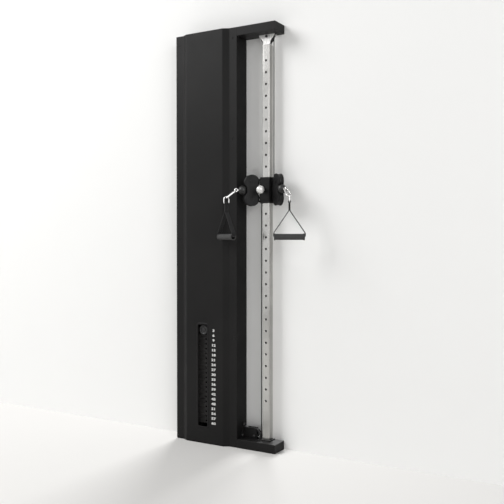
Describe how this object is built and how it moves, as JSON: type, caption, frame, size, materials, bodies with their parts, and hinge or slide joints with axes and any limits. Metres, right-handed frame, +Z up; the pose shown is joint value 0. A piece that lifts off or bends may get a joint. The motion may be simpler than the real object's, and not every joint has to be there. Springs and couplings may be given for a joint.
{
  "type": "cable machine",
  "caption": "Wall-standing adjustable cable machine with an enclosed weight stack, a chrome column and a sliding carriage with two swivelling pulley heads and handles.",
  "frame": {"origin": "on the floor under the axis of the column, on the underside of the base arm", "axes": "+X to the right along the wall as seen from the front, +Y towards the wall, +Z up"},
  "size_m": [0.7829, 0.2254, 2.168],
  "materials": {
    "powder_coat": "satin textured powder coat",
    "dark_coat": "matt powder coat",
    "chrome": "polished",
    "steel": "machined",
    "plate_paint": "rough matt paint",
    "black_nylon": "moulded",
    "pale_nylon": "moulded",
    "rubber": "moulded",
    "webbing": "woven",
    "cable_jacket": "smooth jacket",
    "knob": "moulded"
  },
  "bodies": {
    "frame": {"front_cover": "powder_coat", "housing_shell": "powder_coat", "top_panel": "powder_coat", "base_plate": "dark_coat", "left_guide_rod": "chrome", "right_guide_rod": "chrome", "left_rod_bumper": "rubber", "right_rod_bumper": "rubber", "weight_plates": "plate_paint", "pulley_carrier": "dark_coat", "lower_pulley_bracket": "dark_coat", "top_arm": "powder_coat", "base_arm": "powder_coat", "column": "chrome", "column_yoke": "chrome", "column_pulley_axle": "steel", "lower_pulley_axle": "steel", "upper_cable": "cable_jacket", "lower_cable": "cable_jacket", "left_cable_run": "cable_jacket", "right_cable_run": "cable_jacket", "stack_cable": "cable_jacket"},
    "lifted_stack": {"top_plate": "plate_paint", "selector_stem": "steel"},
    "stack_pulley": {"stack_pulley": "black_nylon"},
    "selector_pin": {"selector_pin": "knob"},
    "column_top_pulley": {"column_top_pulley": "black_nylon"},
    "lower_pulley": {"lower_pulley": "black_nylon"},
    "stack_line_pulley": {"stack_line_pulley": "black_nylon"},
    "return_pulley": {"return_pulley": "black_nylon"},
    "base_pulley": {"base_pulley": "black_nylon"},
    "carriage": {"carriage_sleeve": "powder_coat", "sleeve_liner": "pale_nylon"},
    "pull_pin": {"pull_pin": "chrome"},
    "left_head": {"left_head_frame": "dark_coat", "left_upper_wheel_bolt": "steel", "left_lower_wheel_bolt": "steel", "left_head_cable": "cable_jacket"},
    "left_upper_wheel": {"left_upper_wheel": "black_nylon"},
    "left_lower_wheel": {"left_lower_wheel": "black_nylon"},
    "left_cable_end": {"left_ball_stop": "rubber", "left_cable_eye": "chrome", "left_snap_hook": "chrome"},
    "left_hook_gate": {"left_hook_gate": "chrome"},
    "left_handle": {"left_d_ring": "chrome", "left_strap": "webbing"},
    "left_grip": {"left_grip": "rubber"},
    "right_head": {"right_head_frame": "dark_coat", "right_upper_wheel_bolt": "steel", "right_lower_wheel_bolt": "steel", "right_head_cable": "cable_jacket"},
    "right_upper_wheel": {"right_upper_wheel": "black_nylon"},
    "right_lower_wheel": {"right_lower_wheel": "black_nylon"},
    "right_cable_end": {"right_ball_stop": "rubber", "right_cable_eye": "chrome", "right_snap_hook": "chrome"},
    "right_hook_gate": {"right_hook_gate": "chrome"},
    "right_handle": {"right_d_ring": "chrome", "right_strap": "webbing"},
    "right_grip": {"right_grip": "rubber"}
  },
  "joints": [
    {"name": "stack_lift", "type": "slide", "parent": "frame", "child": "lifted_stack", "axis": [0, 0, 1], "range_m": [0, 0.9], "deforming": ["stack_cable"]},
    {"name": "stack_pulley_spin", "type": "hinge", "parent": "lifted_stack", "child": "stack_pulley", "pos_m": [-0.346, 0, 0.6905], "axis": [0, 1, 0], "continuous": true},
    {"name": "selector_pin_pull", "type": "slide", "parent": "lifted_stack", "child": "selector_pin", "axis": [0, 1, 0], "range_m": [-0.07, 0]},
    {"name": "column_top_pulley_spin", "type": "hinge", "parent": "frame", "child": "column_top_pulley", "pos_m": [0, 0, 2.113], "axis": [0, 1, 0], "continuous": true},
    {"name": "lower_pulley_spin", "type": "hinge", "parent": "frame", "child": "lower_pulley", "pos_m": [-0.072, 0, 0.06], "axis": [0, 1, 0], "continuous": true},
    {"name": "stack_line_pulley_spin", "type": "hinge", "parent": "frame", "child": "stack_line_pulley", "pos_m": [-0.346, 0, 2.113], "axis": [0, 1, 0], "continuous": true},
    {"name": "return_pulley_spin", "type": "hinge", "parent": "frame", "child": "return_pulley", "pos_m": [-0.274, 0, 2.04], "axis": [0, 1, 0], "continuous": true},
    {"name": "base_pulley_spin", "type": "hinge", "parent": "frame", "child": "base_pulley", "pos_m": [-0.202, 0, 0.06], "axis": [0, 1, 0], "continuous": true},
    {"name": "carriage_slide", "type": "slide", "parent": "frame", "child": "carriage", "axis": [0, 0, 1], "range_m": [-1.02, 0.66], "deforming": ["left_cable_run", "right_cable_run"]},
    {"name": "pull_pin_slide", "type": "slide", "parent": "carriage", "child": "pull_pin", "axis": [0, -1, 0], "range_m": [-0.0085, 0.003]},
    {"name": "left_head_swivel", "type": "hinge", "parent": "carriage", "child": "left_head", "pos_m": [-0.036, 0, 1.33], "axis": [0, 0, 1], "range_deg": [-1.5, 22]},
    {"name": "left_upper_wheel_spin", "type": "hinge", "parent": "left_head", "child": "left_upper_wheel", "pos_m": [-0.07213, -0.04013, 1.37175], "axis": [0.7431, -0.6691, 0], "continuous": true},
    {"name": "left_lower_wheel_spin", "type": "hinge", "parent": "left_head", "child": "left_lower_wheel", "pos_m": [-0.07213, -0.04013, 1.28825], "axis": [0.7431, -0.6691, 0], "continuous": true},
    {"name": "left_cable_pull", "type": "slide", "parent": "left_head", "child": "left_cable_end", "axis": [-0.6691, -0.7431, 0], "range_m": [0, 0.9], "deforming": ["left_head_cable"]},
    {"name": "left_gate_hinge", "type": "hinge", "parent": "left_cable_end", "child": "left_hook_gate", "pos_m": [-0.13027, -0.12233, 1.3167], "axis": [0.412, 0.4575, -0.788], "range_deg": [0, 22], "stiffness_Nm_per_rad": 0.05, "springref_deg": -5.73},
    {"name": "left_handle_swing", "type": "hinge", "parent": "left_cable_end", "child": "left_handle", "pos_m": [-0.16218, -0.14014, 1.28967], "axis": [-0.7431, 0.6691, 0], "range_deg": [0, 60]},
    {"name": "left_grip_spin", "type": "hinge", "parent": "left_handle", "child": "left_grip", "pos_m": [-0.16218, -0.14014, 1.09167], "axis": [0.866, -0.5, 0], "continuous": true},
    {"name": "right_head_swivel", "type": "hinge", "parent": "carriage", "child": "right_head", "pos_m": [0.036, 0, 1.33], "axis": [0, 0, -1], "range_deg": [-43, 32]},
    {"name": "right_upper_wheel_spin", "type": "hinge", "parent": "right_head", "child": "right_upper_wheel", "pos_m": [0.07855, -0.03325, 1.37175], "axis": [0.6157, 0.788, 0], "continuous": true},
    {"name": "right_lower_wheel_spin", "type": "hinge", "parent": "right_head", "child": "right_lower_wheel", "pos_m": [0.07855, -0.03325, 1.28825], "axis": [0.6157, 0.788, 0], "continuous": true},
    {"name": "right_cable_pull", "type": "slide", "parent": "right_head", "child": "right_cable_end", "axis": [0.788, -0.6157, 0], "range_m": [0, 0.9], "deforming": ["right_head_cable"]},
    {"name": "right_gate_hinge", "type": "hinge", "parent": "right_cable_end", "child": "right_hook_gate", "pos_m": [0.16461, -0.0855, 1.3167], "axis": [-0.4851, 0.379, -0.788], "range_deg": [0, 22], "stiffness_Nm_per_rad": 0.05, "springref_deg": -5.73},
    {"name": "right_handle_swing", "type": "hinge", "parent": "right_cable_end", "child": "right_handle", "pos_m": [0.1846, -0.1161, 1.28967], "axis": [-0.6157, -0.788, 0], "range_deg": [-25, 60]},
    {"name": "right_grip_spin", "type": "hinge", "parent": "right_handle", "child": "right_grip", "pos_m": [0.1846, -0.1161, 1.09167], "axis": [0.866, 0.5, 0], "continuous": true}
  ],
  "couplings": [
    {"joint": "lower_pulley_spin", "follows": "stack_lift", "rad_per_m": -27.778},
    {"joint": "base_pulley_spin", "follows": "stack_lift", "rad_per_m": -27.778},
    {"joint": "return_pulley_spin", "follows": "stack_lift", "rad_per_m": 27.778},
    {"joint": "stack_line_pulley_spin", "follows": "stack_lift", "rad_per_m": 27.778},
    {"joint": "column_top_pulley_spin", "follows": "stack_lift", "rad_per_m": 27.778},
    {"joint": "left_cable_pull", "follows": "stack_lift", "ratio": 1},
    {"joint": "left_lower_wheel_spin", "follows": "stack_lift", "rad_per_m": 28.985},
    {"joint": "right_cable_pull", "follows": "stack_lift", "ratio": 1},
    {"joint": "right_upper_wheel_spin", "follows": "stack_lift", "rad_per_m": -28.985}
  ]
}
